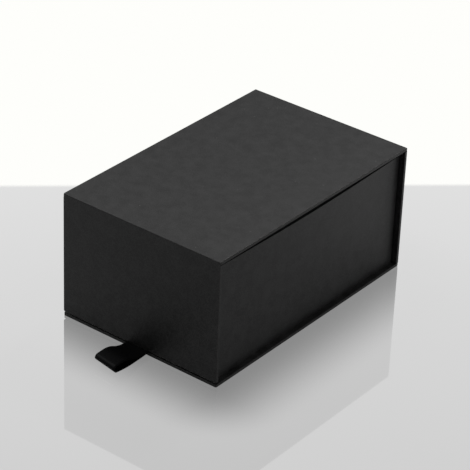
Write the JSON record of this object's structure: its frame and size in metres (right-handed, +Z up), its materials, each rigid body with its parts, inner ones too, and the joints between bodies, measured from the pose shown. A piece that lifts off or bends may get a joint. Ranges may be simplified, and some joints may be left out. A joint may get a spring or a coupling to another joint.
{
  "type": "gift box",
  "caption": "Rigid paper-covered gift box: a tray in a folding cover with a hinged lid, a magnetic front flap and a ribbon pull.",
  "frame": {"origin": "middle of the base's underside, under the cover (the ribbon pull left out)", "axes": "+Z up through the lid, +Y towards the spine, -Y towards the flap and its ribbon pull, +X across the box"},
  "size_m": [0.14, 0.2538, 0.1],
  "materials": {
    "cover_paper": "matte",
    "lining_paper": "matte",
    "greyboard": "matte",
    "corner_tape": "matte",
    "ribbon": "satin",
    "magnet": "polished",
    "keeper_steel": "satin"
  },
  "bodies": {
    "tray": {"base_board": "greyboard", "base_wrap": "cover_paper", "base_fold_paper": "cover_paper", "spine_board": "greyboard", "spine_wrap": "cover_paper", "spine_lining": "lining_paper", "lid_fold_paper": "cover_paper", "tray_floor_board": "greyboard", "tray_front_wall": "greyboard", "tray_back_wall": "greyboard", "tray_left_wall": "greyboard", "tray_right_wall": "greyboard", "tray_wrap": "cover_paper", "tray_floor_card": "lining_paper", "tray_corner_tapes": "corner_tape", "tray_keeper_discs": "keeper_steel"},
    "lid": {"lid_board": "greyboard", "lid_wrap": "cover_paper", "lid_lining": "lining_paper", "flap_fold_paper": "cover_paper"},
    "flap": {"flap_board": "greyboard", "flap_wrap": "cover_paper", "flap_lining": "lining_paper", "flap_magnets": "magnet", "ribbon_pull": "ribbon"}
  },
  "joints": [
    {"name": "lid_hinge", "type": "hinge", "parent": "tray", "child": "lid", "pos_m": [0, 0.1085, 0.1], "axis": [-1, 0, 0], "range_deg": [0, 180], "deforming": ["lid_fold_paper"]},
    {"name": "flap_hinge", "type": "hinge", "parent": "lid", "child": "flap", "pos_m": [0, -0.1085, 0.1], "axis": [-1, 0, 0], "range_deg": [0, 180], "deforming": ["flap_fold_paper"]}
  ]
}
